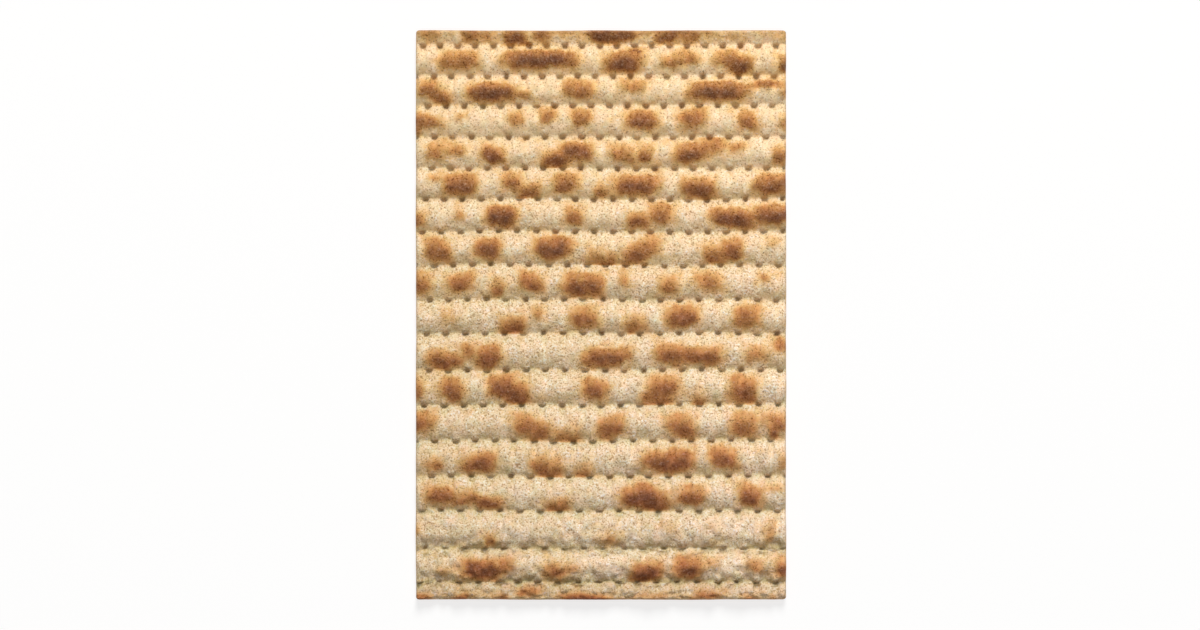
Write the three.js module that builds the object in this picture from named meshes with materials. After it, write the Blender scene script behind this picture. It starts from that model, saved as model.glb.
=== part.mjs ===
// A sheet of matzo, the flat unleavened bread, as one solid.
//
// The dough is rolled thin, pricked with rows of holes that pin its two faces together, and baked at once.
// Between the rows the steam lifts it into long ridges, and where it lifts most it makes brown blisters.
// X runs along the rows, Y across them from the last row to the first, and Z up from the underside.
import * as THREE from "three";

// Driving dimensions, in millimetres.
const SHEET_WIDTH = 110;
const SHEET_LENGTH = 169;

// The edge: how far it bulges past both faces, how low it turns, and what share of the height it keeps.
const CORNER_RADIUS = 0.9;
const EDGE_BULGE = 0.35;
const EDGE_BAND = 0.6;
const EDGE_LOW = 0.45;
const EDGE_SHARE = 0.8;
const EDGE_WANDER = 0.2;
const EDGE_WANDER_REACH = 6;

// The upper face: its height along the rows of holes and on the ridges between them. A ridge rises slowly
// from the row before it and drops faster to the row after it. Towards the near end the ridges grow higher
// and fuller, on the left more full and on the right more high.
const LINE_TOP = 2.1;
const RIDGE_TOP = 3.8;
const RIDGE_WANDER = 0.3;
const RIDGE_SHOULDER = 2.5;
const RIDGE_GROWTH = 0.35;
const RIGHT_GROWTH = 0.3;
const FAR_ROUNDNESS = 1.65;
const NEAR_ROUNDNESS = 1;
const NEAR_FULLNESS = 0.22;
const RIGHT_STEEPNESS = 0.12;
const ROW_WANDER = 0.45;
const BLISTER_RISE = 0.9;

// The holes are funnels with a closed floor. The dough between two of them makes a small bridge.
const HOLE_FLOOR = 1.05;
const HOLE_HALF_WIDTH = 1.0;
const HOLE_HALF_HEIGHT = 0.85;
const HOLE_WANDER = 0.3;
const BRIDGE_RISE = 0.15;

// The ridge after a row reaches back between the holes as tabs, and leaves a lip round each hole. The tabs'
// reach is given row by row from the far end on.
const LIP_REACH = 0.5;
const LIP_GROWTH = 0.6;
const TAB_REACHES = [
  0.8, 0.8, 0.7, 0.55, 0.45, 0.45, 0.45, 0.5, 0.55, 0.6, 0.7, 0.8, 0.9, 0.9, 0.8, 0.4, 0.6,
];

// The holes of the first row lie this far apart, and those of each next row a little further.
const FIRST_PITCH = 5.23;
const PITCH_GROWTH = 0.083;
const PITCH_SLOWING = 0.0026;

// The underside is flat, with a shallow groove below each row of holes.
const GROOVE_DEPTH = 0.6;
const GROOVE_HALF_WIDTH = 1.7;
const UNDERSIDE_COLUMNS = 9;

// How far each row of holes lies from the one before it, the first from the far end.
const ROW_GAPS = [4.9, 9.1, 8.7, 9.3, 9.2, 9.2, 9.6, 10, 10.3, 10, 10.9, 10.3, 10.6, 10.5, 10.2, 11.1, 10];

// How far the first hole of each row lies from the left edge.
const FIRST_HOLES = [2.2, 5.5, 3.6, 5.6, 4.9, 2.9, 2.1, 5.4, 4, 3.3, 3.8, 2.6, 5.9, 4.7, 1.6, 2.9, 1];

// The two ends of the sheet cut through a ridge. Whole, those ridges would be this wide.
const FIRST_RIDGE = 9.8;
const LAST_RIDGE = 6.6;

// The blisters of each ridge from the far end on: [middle from the left edge, length, browning in percent,
// place down the ridge in percent, and where it isn't the usual one, half its height in percent of the
// ridge].
const BLISTERS = [
  [
    [5.5, 3.5, 24, 60], [16.5, 6.5, 50, 58], [29.5, 9, 70, 72], [37.5, 6, 44, 60], [55, 10, 84, 61, 26],
    [61.5, 9, 74, 60, 28], [75, 9, 68, 61, 26], [81.5, 7, 46, 60], [95.5, 9, 12, 60],
  ],
  [
    [13, 12.5, 55, 46], [37.2, 25.5, 94, 43, 33], [61.5, 12.5, 90, 50, 38], [76, 8, 45, 43, 22],
    [81.5, 6, 48, 36, 24], [92, 9, 47, 37, 26], [96.5, 8.5, 83, 62, 32], [109.5, 5, 69, 58],
  ],
  [
    [4, 8, 57, 38, 28], [7.5, 6.5, 50, 70, 26], [22.5, 16, 91, 52, 34], [32, 6, 40, 58, 16],
    [48.5, 11, 51, 42], [64.5, 9.5, 43, 34, 26], [89.5, 20, 86, 48, 36], [104, 12, 60, 27, 14],
    [109.5, 3, 24, 50, 30],
  ],
  [
    [3, 12, 56, 46, 26], [0.5, 4, 38, 70, 26], [14, 5, 30, 25, 14], [30, 4.5, 40, 40], [39, 6, 50, 30],
    [49, 6.5, 55, 35], [67, 10, 75, 40], [82, 10, 60, 35], [98.5, 5.5, 66, 43, 36],
    [109.5, 4, 27, 50, 26],
  ],
  [
    [6, 6, 44, 42, 28], [12, 7, 44, 37, 20], [23, 8.5, 80, 50], [41.5, 9, 70, 70], [48, 10.5, 80, 42],
    [61.5, 9, 45, 45], [68.5, 5, 55, 50], [81, 10.5, 80, 50], [88, 8.5, 50, 22],
    [95.4, 6.5, 38, 28, 18], [108.4, 5.5, 45, 58, 34],
  ],
  [
    [5.5, 5, 24, 28, 16], [13, 11.5, 72, 48, 38], [28.5, 7, 55, 42], [34, 7.5, 50, 72],
    [44.5, 9, 65, 45], [55, 4.5, 45, 70], [65.5, 15, 80, 50], [84, 11.5, 72, 60],
    [106.5, 13, 70, 50, 36],
  ],
  [
    [0, 6, 48, 66, 26], [13, 4, 25, 42, 34], [25.5, 11, 90, 52], [47, 6, 60, 50], [66, 7.5, 60, 65],
    [73, 8.5, 60, 38], [94, 14.5, 88, 55, 34], [106.5, 14, 86, 49, 31],
  ],
  [
    [6.5, 8.5, 62, 48, 40], [21.5, 9, 80, 50], [40.5, 13, 85, 45], [55.5, 11, 35, 80],
    [65.5, 9, 60, 65], [69.5, 7, 40, 38], [88, 6.5, 50, 62], [94, 8.5, 72, 52, 36],
    [106, 5, 20, 30, 18],
  ],
  [
    [1, 9, 54, 46, 32], [13.5, 9, 59, 50, 30], [24, 5, 45, 65], [34, 9, 65, 45], [50, 14, 72, 58],
    [62, 4.5, 35, 35], [75, 7.5, 45, 50], [87, 9, 45, 45], [103.5, 4, 45, 34, 16],
  ],
  [
    [10, 5, 20, 42, 24], [29, 8.5, 60, 75], [36.5, 5, 30, 35], [50, 9.5, 62, 52], [65, 8.5, 40, 70],
    [79, 11.5, 75, 45], [98, 10, 56, 46, 36],
  ],
  [
    [8.5, 11, 59, 66, 24], [15.5, 4.5, 50, 48, 22], [22, 9, 65, 60], [57, 17, 70, 60, 28],
    [75, 10.5, 66, 52, 28], [85, 14.5, 64, 60, 28], [101, 8.5, 35, 52, 30], [108, 5.5, 48, 30, 22],
  ],
  [
    [0, 6.5, 45, 50, 36], [10.5, 8, 68, 50, 42], [25.5, 9, 75, 40], [30, 8.5, 70, 65],
    [53, 9.5, 70, 50], [74, 11.5, 55, 42], [71.5, 11, 45, 82], [83.5, 6, 40, 88], [97, 10, 64, 52, 46],
  ],
  [
    [1.5, 9.5, 55, 42, 32], [32, 8, 50, 50], [37, 8, 50, 72], [45, 10, 35, 82], [58, 10, 58, 55],
    [78.5, 11, 58, 55], [97.5, 9, 48, 56, 40], [103, 9, 18, 33, 20], [108, 6.5, 48, 44, 28],
    [106, 4, 62, 72, 18],
  ],
  [
    [5.5, 6.5, 40, 62, 28], [19, 11.5, 72, 60], [39, 11, 55, 70], [50, 7, 40, 82], [75, 17.5, 75, 52],
    [91.5, 9.5, 68, 46, 34], [102, 5, 6, 25, 12], [109.5, 4, 26, 50, 26],
  ],
  [
    [7, 10, 65, 47, 28], [14, 9, 48, 60, 24], [21.5, 11, 60, 70, 24], [42, 9, 45, 80],
    [66, 12.5, 75, 50], [71.5, 11, 60, 65], [82, 9, 62, 50], [99, 8.5, 70, 50, 36],
    [106.5, 8, 22, 27, 16],
  ],
  [
    [0, 3.5, 26, 42, 22], [22, 4.5, 42, 74, 22], [57.5, 8, 24, 68, 20], [75, 7, 12, 35, 18],
    [88, 7, 10, 35, 18], [104.6, 4.5, 25, 46, 34],
  ],
  [
    [8, 4.5, 17, 60, 22], [19.3, 13.5, 85, 56, 35], [27, 7.5, 36, 42, 26], [41.4, 7.5, 54, 58, 26],
    [46.2, 5, 20, 46, 18], [68.4, 11.5, 84, 62, 30], [80.6, 8.5, 74, 50, 36], [86.5, 8.5, 25, 36, 22],
    [100.8, 7.5, 36, 38, 26], [109, 6, 68, 50, 34],
  ],
  [
    [1.5, 6, 46, 60, 20], [13.5, 6, 46, 60, 18], [33.5, 11, 36, 36, 26], [50, 17, 67, 62, 22],
    [69, 7, 16, 60, 18], [86.5, 10, 38, 46, 26], [99.5, 8, 32, 60, 18],
  ],
];

// Half the height of a usual blister, in percent of its ridge, grows with its length up to a long one's.
const USUAL_HEIGHT = 24;
const LONG_BLISTER = 12;

const DOUGH_COLOR = 0xdcbb8c;
const DOUGH_ROUGHNESS = 0.85;

// Adds up a list of distances into places.
function placesOf(gaps) {
  let place = 0;
  return gaps.map((gap) => (place += gap));
}

// Places on the sheet are [across, down], measured from the far left corner.
const ROWS = placesOf(ROW_GAPS);
const LAST_ROW = ROWS.length - 1;
const RIDGE_STARTS = [ROWS[0] - FIRST_RIDGE, ...ROWS];
const RIDGE_ENDS = [...ROWS, ROWS[LAST_ROW] + LAST_RIDGE];
const FAR_END = EDGE_BULGE;
const NEAR_END = SHEET_LENGTH - EDGE_BULGE;

// An even, slow unevenness from -1 to 1, the same each time for the same two numbers.
function wander(a, b) {
  const waves = [1.3 * a + 0.7 * b, 0.57 * a - 1.9 * b + 1.7, 2.3 * a + 3.1 * b + 0.4];
  return waves.reduce((sum, wave) => sum + Math.sin(wave), 0) / waves.length;
}

// Where the faces of the sheet begin on the left, inside the bulging edge. Its corners are rounded.
function leftEdge(down) {
  const rest = Math.max(0, CORNER_RADIUS - Math.min(down - FAR_END, NEAR_END - down));
  return EDGE_BULGE + CORNER_RADIUS - Math.sqrt(CORNER_RADIUS * CORNER_RADIUS - rest * rest);
}

function rightEdge(down) {
  return SHEET_WIDTH - leftEdge(down);
}

// The holes of one row, from left to right, without those too near the edges to be whole.
function holesOf(row) {
  const pitch = FIRST_PITCH + PITCH_GROWTH * row - PITCH_SLOWING * row * row;
  const clear = EDGE_BULGE + EDGE_BAND + HOLE_HALF_WIDTH + HOLE_WANDER;
  const holes = [];
  for (let across = FIRST_HOLES[row]; across < SHEET_WIDTH; across += pitch) {
    const hole = across + HOLE_WANDER * wander(across, row * 5);
    if (hole > clear && hole < SHEET_WIDTH - clear) holes.push(hole);
  }
  return holes;
}

// The ridge that a place lies on, and how far over it, from 0 at the row before to 1 at the row after.
function ridgeAt(down) {
  const after = ROWS.findIndex((row) => down <= row);
  const ridge = after < 0 ? ROWS.length : after;
  const start = RIDGE_STARTS[ridge];
  return { ridge, over: (down - start) / (RIDGE_ENDS[ridge] - start) };
}

// How far the blisters of a ridge lift the dough at a place. Each lifts it evenly but for its border.
function blisterLift(across, ridge, over) {
  const lifts = BLISTERS[ridge].map(([middle, length, browning, place, height]) => {
    const halfHeight = height ?? USUAL_HEIGHT + Math.min(length, LONG_BLISTER);
    const a = (across - middle) / (length / 2);
    const b = (100 * over - place) / halfHeight;
    const inside = Math.max(0, Math.min(1, 1.3 * (1.1 - a * a - b * b)));
    return BLISTER_RISE * (0.3 + 0.7 * (browning / 100)) * inside;
  });
  return Math.max(...lifts);
}

// How far right a place lies, from -1 at the left edge to 1 at the right one.
function sideOf(across) {
  return across / (SHEET_WIDTH / 2) - 1;
}

// How full a ridge is at a place over it, from 0 at the rows to 1 on its crest.
function swellAt(across, down, over) {
  const flank = (share) => Math.sin(Math.PI * Math.min(Math.max(share, 0), 0.5));
  const fullness = NEAR_FULLNESS - RIGHT_STEEPNESS * sideOf(across);
  const nearRoundness = NEAR_ROUNDNESS - fullness * (down / SHEET_LENGTH);
  return Math.pow(flank(over), FAR_ROUNDNESS) * Math.pow(flank(1 - over), nearRoundness);
}

// The height of the upper face, without its holes.
function topHeight(across, down) {
  const { ridge, over } = ridgeAt(down);
  const toNearEnd = down / SHEET_LENGTH;
  const growth = RIDGE_GROWTH * (toNearEnd - 0.5) + RIGHT_GROWTH * sideOf(across) * toNearEnd;
  const crest = RIDGE_TOP - LINE_TOP + growth + RIDGE_WANDER * wander(across / 9, ridge * 4);
  const full = LINE_TOP + swellAt(across, down, over) * (crest + blisterLift(across, ridge, over));
  const toSide = Math.min(across - leftEdge(down), rightEdge(down) - across);
  const toEdge = Math.min(toSide, down - FAR_END, NEAR_END - down);
  const share = Math.min(1, EDGE_SHARE + (1 - EDGE_SHARE) * (toEdge / EDGE_BAND));
  return EDGE_LOW + (full - EDGE_LOW) * share;
}

// A line of the upper face across the sheet, with a column at each hole of a row and one at each bridge.
function topLine(down, holes, isRow = false) {
  const columns = [leftEdge(down), leftEdge(down) + EDGE_BAND];
  holes.forEach((hole, index) => {
    if (index > 0) columns.push((holes[index - 1] + hole) / 2);
    if (isRow) columns.push(hole - HOLE_HALF_WIDTH);
    columns.push(hole);
    if (isRow) columns.push(hole + HOLE_HALF_WIDTH);
  });
  columns.push(rightEdge(down) - EDGE_BAND, rightEdge(down));
  return columns.map((across) => {
    if (!isRow) return [across, down, topHeight(across, down)];
    const nearest = Math.min(...holes.map((hole) => Math.abs(across - hole)));
    if (nearest === 0) return [across, down, HOLE_FLOOR];
    const rise = nearest > 2 * HOLE_HALF_WIDTH ? BRIDGE_RISE : 0;
    return [across, down, topHeight(across, down) + rise];
  });
}

// Moves a line near a row to the row's tabs and lips: back between the holes and on at each hole.
function scalloped(line, holes, row) {
  const lip = LIP_REACH * (1 + LIP_GROWTH * (ROWS[row] / SHEET_LENGTH));
  return line.map(([across, down, height]) => {
    const nearest = Math.min(...holes.map((hole) => Math.abs(across - hole)));
    const between = Math.min(1, nearest / (1.5 * HOLE_HALF_WIDTH));
    return [across, down + lip - between * (lip + TAB_REACHES[row]), height];
  });
}

// All lines of the upper face, from the far end of the sheet to the near end.
function topLines() {
  const rows = ROWS.map((_, row) => holesOf(row));
  const lines = [topLine(FAR_END, rows[0]), topLine(FAR_END + EDGE_BAND, rows[0])];
  ROWS.forEach((down, row) => {
    const holes = rows[row];
    if (row > 0) {
      lines.push(topLine((ROWS[row - 1] + down) / 2, rows[row - 1]));
      lines.push(topLine(down - RIDGE_SHOULDER, holes));
    }
    lines.push(scalloped(topLine(down - HOLE_HALF_HEIGHT, holes), holes, row));
    lines.push(scalloped(topLine(down, holes, true), holes, row));
    lines.push(scalloped(topLine(down + HOLE_HALF_HEIGHT, holes), holes, row));
    lines.push(topLine(down + RIDGE_SHOULDER, holes));
  });
  lines.push(topLine(NEAR_END - EDGE_BAND, rows[LAST_ROW]));
  lines.push(topLine(NEAR_END, rows[LAST_ROW]));
  return lines;
}

// A line of the underside across the sheet, at one height but for its ends, which turn up to the edge.
function bottomLine(down, height) {
  const left = leftEdge(down) + EDGE_BAND;
  const step = (rightEdge(down) - EDGE_BAND - left) / UNDERSIDE_COLUMNS;
  const line = [[leftEdge(down), down, EDGE_LOW]];
  for (let column = 0; column <= UNDERSIDE_COLUMNS; column += 1)
    line.push([left + step * column, down, height]);
  line.push([rightEdge(down), down, EDGE_LOW]);
  return line;
}

// All lines of the underside, from the far end of the sheet to the near end.
function bottomLines() {
  const lines = [bottomLine(FAR_END, EDGE_LOW), bottomLine(FAR_END + EDGE_BAND, 0)];
  ROWS.forEach((down) => {
    lines.push(bottomLine(down - GROOVE_HALF_WIDTH, 0));
    lines.push(bottomLine(down, GROOVE_DEPTH));
    lines.push(bottomLine(down + GROOVE_HALF_WIDTH, 0));
  });
  lines.push(bottomLine(NEAR_END - EDGE_BAND, 0), bottomLine(NEAR_END, EDGE_LOW));
  return lines;
}

// Moves a place as baking does: the rows run a little uneven, and the edges draw in here and there.
function uneven([across, down, height]) {
  const drawIn = (distance, along, seed) =>
    Math.max(0, 1 - distance / EDGE_WANDER_REACH) * EDGE_WANDER * 0.5 * (1 + wander(along / 9, seed));
  const left = drawIn(across, down, 3);
  const right = drawIn(SHEET_WIDTH - across, down, 11);
  const far = drawIn(down, across, 5);
  const near = drawIn(SHEET_LENGTH - down, across, 17);
  const sway = ROW_WANDER * wander(across / 14, down / 30) * Math.sin((Math.PI * down) / SHEET_LENGTH);
  return [across + left - right, down + far - near + sway, height];
}

const vertices = [];
const triangles = [];

// Adds a line of places to the mesh and gives back their numbers in it.
function addLine(line) {
  return line.map((place) => {
    const [across, down, height] = uneven(place);
    return vertices.push([across, -down, height]) - 1;
  });
}

// Fills the strip between two lines of vertices that run the same way along one axis.
// Seen from outside with the lines running to the right, the second line is the lower one.
function stitch(first, second, axis) {
  const at = (line, index) => Math.abs(vertices[line[index]][axis] - vertices[line[0]][axis]);
  let i = 0;
  let j = 0;
  while (i + 1 < first.length || j + 1 < second.length) {
    const firstNext = i + 1 < first.length ? at(first, i) + at(first, i + 1) : Infinity;
    const secondNext = j + 1 < second.length ? at(second, j) + at(second, j + 1) : Infinity;
    if (firstNext < secondNext) {
      triangles.push([first[i], second[j], first[i + 1]]);
      i += 1;
    } else {
      triangles.push([first[i], second[j], second[j + 1]]);
      j += 1;
    }
  }
}

// The four sides of a face that is made of lines.
function sidesOf(lines) {
  return {
    far: lines[0],
    near: lines[lines.length - 1],
    left: lines.map((line) => line[0]),
    right: lines.map((line) => line[line.length - 1]),
  };
}

// Moves a place at the edge of the upper face out to the middle of the bulging edge below it.
function rimPlace([across, down, height]) {
  const outwards = (value, size) => size / 2 + ((value - size / 2) * size) / (size - 2 * EDGE_BULGE);
  return [outwards(across, SHEET_WIDTH), outwards(down, SHEET_LENGTH), (EDGE_LOW + height) / 2];
}

// The rim's four sides, which share their corners as the faces' sides do.
function rimSides(lines) {
  const far = addLine(lines[0].map(rimPlace));
  const near = addLine(lines[lines.length - 1].map(rimPlace));
  const between = lines.slice(1, -1);
  const left = addLine(between.map((line) => rimPlace(line[0])));
  const right = addLine(between.map((line) => rimPlace(line[line.length - 1])));
  return {
    far,
    near,
    left: [far[0], ...left, near[0]],
    right: [far[far.length - 1], ...right, near[near.length - 1]],
  };
}

// The closed mesh of the sheet: its upper face, its underside and the rounded edge that joins them.
function sheetGeometry() {
  const lines = topLines();
  const top = lines.map(addLine);
  const bottom = bottomLines().map(addLine);
  for (let i = 0; i + 1 < top.length; i += 1) stitch(top[i], top[i + 1], 0);
  for (let i = 0; i + 1 < bottom.length; i += 1) stitch(bottom[i + 1], bottom[i], 0);

  const upper = sidesOf(top);
  const rim = rimSides(lines);
  const lower = sidesOf(bottom);
  stitch(rim.far, upper.far, 0);
  stitch(lower.far, rim.far, 0);
  stitch(upper.near, rim.near, 0);
  stitch(rim.near, lower.near, 0);
  stitch(upper.left, rim.left, 1);
  stitch(rim.left, lower.left, 1);
  stitch(rim.right, upper.right, 1);
  stitch(lower.right, rim.right, 1);

  const geometry = new THREE.BufferGeometry();
  geometry.setAttribute("position", new THREE.Float32BufferAttribute(vertices.flat(), 3));
  geometry.setIndex(triangles.flat());
  return geometry;
}

// Brings a geometry to the sheet's full width and length, with the middle of its underside at the origin.
function fitted(geometry) {
  geometry.computeBoundingBox();
  const size = geometry.boundingBox.getSize(new THREE.Vector3());
  const middle = geometry.boundingBox.getCenter(new THREE.Vector3());
  geometry.translate(-middle.x, -middle.y, 0);
  geometry.scale(SHEET_WIDTH / size.x, SHEET_LENGTH / size.y, 1);
  geometry.computeVertexNormals();
  return geometry;
}

const dough = new THREE.MeshStandardMaterial({
  color: DOUGH_COLOR,
  roughness: DOUGH_ROUGHNESS,
  metalness: 0,
});

const sheet = new THREE.Mesh(fitted(sheetGeometry()), dough);
sheet.name = "matzo_sheet";

const group = new THREE.Group();
group.add(sheet);

export default group;
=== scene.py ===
import math
from types import SimpleNamespace

import bpy
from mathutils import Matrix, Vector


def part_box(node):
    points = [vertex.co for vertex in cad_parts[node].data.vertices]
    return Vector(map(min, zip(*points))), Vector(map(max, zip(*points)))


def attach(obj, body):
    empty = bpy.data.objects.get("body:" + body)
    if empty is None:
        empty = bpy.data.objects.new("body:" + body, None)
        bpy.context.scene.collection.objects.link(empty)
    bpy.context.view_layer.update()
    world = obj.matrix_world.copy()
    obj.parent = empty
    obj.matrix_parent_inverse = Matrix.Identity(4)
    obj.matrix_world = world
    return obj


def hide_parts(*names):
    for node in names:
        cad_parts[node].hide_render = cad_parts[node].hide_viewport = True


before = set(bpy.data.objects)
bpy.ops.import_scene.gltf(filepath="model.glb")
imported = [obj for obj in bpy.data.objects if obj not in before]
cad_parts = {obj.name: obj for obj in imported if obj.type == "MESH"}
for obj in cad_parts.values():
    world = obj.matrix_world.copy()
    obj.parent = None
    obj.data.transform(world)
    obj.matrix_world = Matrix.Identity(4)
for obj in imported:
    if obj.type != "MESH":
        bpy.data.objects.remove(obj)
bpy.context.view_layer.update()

# --- The sheet ----------------------------------------------------------------------------------------
# A sheet of matzo is flour and water, rolled thin, pricked with rows of holes and baked at once in a
# hot oven. The holes pin its two faces together, steam lifts the dough between the rows into ridges, and
# the highest places of the ridges blister and turn brown.

# Sizes are in millimetres. The sheet is as wide and as long as the CAD part.
MM = 0.001
low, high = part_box("matzo_sheet")
SHEET_WIDTH = (high[0] - low[0]) / MM
SHEET_LENGTH = (high[1] - low[1]) / MM

# Distances of the rows of holes from the far end on, and of each row's first hole from the left edge.
ROW_GAPS = [4.9, 9.1, 8.7, 9.3, 9.2, 9.2, 9.6, 10, 10.3, 10, 10.9, 10.3, 10.6, 10.5, 10.2, 11.1, 10]
FIRST_HOLES = [2.2, 5.5, 3.6, 5.6, 4.9, 2.9, 2.1, 5.4, 4, 3.3, 3.8, 2.6, 5.9, 4.7, 1.6, 2.9, 1]

# How far the dough between a row's holes reaches back as tabs over the foot of the ridge before it.
TAB_REACHES = [
    0.8, 0.8, 0.7, 0.55, 0.45, 0.45, 0.45, 0.5, 0.55, 0.6, 0.7, 0.8, 0.9, 0.9, 0.8, 0.4, 0.6]

# The holes of the first row lie this far apart, and those of each next row a little further.
FIRST_PITCH, PITCH_GROWTH, PITCH_SLOWING = 5.23, 0.083, 0.0026

# The two ends of the sheet cut through a ridge. Whole, those ridges would be this wide. Beyond them
# there is no row, and its holes are taken to lie so close together that no tab fits between them.
FIRST_RIDGE, LAST_RIDGE = 9.8, 6.6
END_PITCH = 1

# The blisters of each ridge from the far end on: (middle from the left edge, length, browning in
# percent, place down the ridge in percent, and where it isn't the usual one, half its height in percent
# of the ridge). Each ridge has spare ones up to the same number, which lie nowhere.
BLISTERS = [
    [
        (5.5, 3.5, 24, 60), (16.5, 6.5, 50, 58), (29.5, 9, 70, 72), (37.5, 6, 44, 60),
        (55, 10, 84, 61, 26), (61.5, 9, 74, 60, 28), (75, 9, 68, 61, 26), (81.5, 7, 46, 60),
        (95.5, 9, 12, 60),
    ],
    [
        (13, 12.5, 55, 46), (37.2, 25.5, 94, 43, 33), (61.5, 12.5, 90, 50, 38), (76, 8, 45, 43, 22),
        (81.5, 6, 48, 36, 24), (92, 9, 47, 37, 26), (96.5, 8.5, 83, 62, 32), (109.5, 5, 69, 58),
        (65.3, 3.2, 85, 15, 4),
    ],
    [
        (4, 8, 57, 38, 28), (7.5, 6.5, 50, 70, 26), (22.5, 16, 91, 52, 34), (32, 6, 40, 58, 16),
        (48.5, 11, 51, 42), (64.5, 9.5, 43, 34, 26), (89.5, 20, 86, 48, 36), (104, 12, 60, 27, 14),
        (109.5, 3, 24, 50, 30),
    ],
    [
        (3, 12, 56, 46, 26), (0.5, 4, 38, 70, 26), (14, 5, 30, 25, 14), (30, 4.5, 40, 40),
        (39, 6, 50, 30), (49, 6.5, 55, 35), (67, 10, 75, 40), (82, 10, 60, 35), (98.5, 5.5, 66, 43, 36),
        (109.5, 4, 27, 50, 26),
    ],
    [
        (6, 6, 44, 42, 28), (12, 7, 44, 37, 20), (23, 8.5, 80, 50), (41.5, 9, 70, 70),
        (48, 10.5, 80, 42), (61.5, 9, 45, 45), (68.5, 5, 55, 50), (81, 10.5, 80, 50), (88, 8.5, 50, 22),
        (95.4, 6.5, 38, 28, 18), (108.4, 5.5, 45, 58, 34),
    ],
    [
        (5.5, 5, 24, 28, 16), (13, 11.5, 72, 48, 38), (28.5, 7, 55, 42), (34, 7.5, 50, 72),
        (44.5, 9, 65, 45), (55, 4.5, 45, 70), (65.5, 15, 80, 50), (84, 11.5, 72, 60),
        (106.5, 13, 70, 50, 36),
    ],
    [
        (0, 6, 48, 66, 26), (13, 4, 25, 42, 34), (25.5, 11, 90, 52), (47, 6, 60, 50), (66, 7.5, 60, 65),
        (73, 8.5, 60, 38), (94, 14.5, 88, 55, 34), (106.5, 14, 86, 49, 31),
    ],
    [
        (6.5, 8.5, 62, 48, 40), (21.5, 9, 80, 50), (40.5, 13, 85, 45), (55.5, 11, 35, 80),
        (65.5, 9, 60, 65), (69.5, 7, 40, 38), (88, 6.5, 50, 62), (94, 8.5, 72, 52, 36),
        (106, 5, 20, 30, 18),
    ],
    [
        (1, 9, 54, 46, 32), (13.5, 9, 59, 50, 30), (24, 5, 45, 65), (34, 9, 65, 45), (50, 14, 72, 58),
        (62, 4.5, 35, 35), (75, 7.5, 45, 50), (87, 9, 45, 45), (103.5, 4, 45, 34, 16),
    ],
    [
        (10, 5, 20, 42, 24), (29, 8.5, 60, 75), (36.5, 5, 30, 35), (50, 9.5, 62, 52), (65, 8.5, 40, 70),
        (79, 11.5, 75, 45), (98, 10, 56, 46, 36),
    ],
    [
        (8.5, 11, 59, 66, 24), (15.5, 4.5, 50, 48, 22), (22, 9, 65, 60), (57, 17, 70, 60, 28),
        (75, 10.5, 66, 52, 28), (85, 14.5, 64, 60, 28), (101, 8.5, 35, 52, 30), (108, 5.5, 48, 30, 22),
    ],
    [
        (0, 6.5, 45, 50, 36), (10.5, 8, 68, 50, 42), (25.5, 9, 75, 40), (30, 8.5, 70, 65),
        (53, 9.5, 70, 50), (74, 11.5, 55, 42), (71.5, 11, 45, 82), (83.5, 6, 40, 88),
        (97, 10, 64, 52, 46),
    ],
    [
        (1.5, 9.5, 55, 42, 32), (32, 8, 50, 50), (37, 8, 50, 72), (45, 10, 35, 82), (58, 10, 58, 55),
        (78.5, 11, 58, 55), (97.5, 9, 48, 56, 40), (103, 9, 18, 33, 20), (108, 6.5, 48, 44, 28),
        (106, 4, 62, 72, 18),
    ],
    [
        (5.5, 6.5, 40, 62, 28), (19, 11.5, 72, 60), (39, 11, 55, 70), (50, 7, 40, 82),
        (75, 17.5, 75, 52), (91.5, 9.5, 68, 46, 34), (102, 5, 6, 25, 12), (109.5, 4, 26, 50, 26),
    ],
    [
        (7, 10, 65, 47, 28), (14, 9, 48, 60, 24), (21.5, 11, 60, 70, 24), (42, 9, 45, 80),
        (66, 12.5, 75, 50), (71.5, 11, 60, 65), (82, 9, 62, 50), (99, 8.5, 70, 50, 36),
        (106.5, 8, 22, 27, 16),
    ],
    [
        (0, 3.5, 26, 42, 22), (22, 4.5, 42, 74, 22), (57.5, 8, 24, 68, 20), (75, 7, 12, 35, 18),
        (88, 7, 10, 35, 18), (104.6, 4.5, 25, 46, 34),
    ],
    [
        (8, 4.5, 17, 60, 22), (19.3, 13.5, 80, 56, 35), (27, 7.5, 36, 42, 26), (41.4, 7.5, 54, 58, 26),
        (46.2, 5, 20, 46, 18), (68.4, 11.5, 84, 62, 30), (80.6, 8.5, 74, 50, 36),
        (86.5, 8.5, 20, 36, 22), (100.8, 7.5, 36, 38, 26), (109, 6, 68, 50, 34),
    ],
    [
        (1.5, 6, 46, 60, 20), (13.5, 6, 46, 60, 18), (33.5, 11, 36, 36, 26), (50, 17, 67, 62, 22),
        (69, 7, 16, 60, 18), (86.5, 10, 38, 46, 26), (99.5, 8, 32, 60, 18),
    ],
]
RIDGES = len(BLISTERS)
MOST_BLISTERS = max(len(ridge) for ridge in BLISTERS)
USUAL_HEIGHT, HIGHEST_FROM_LENGTH = 24, 12
NOWHERE = -1000

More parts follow.
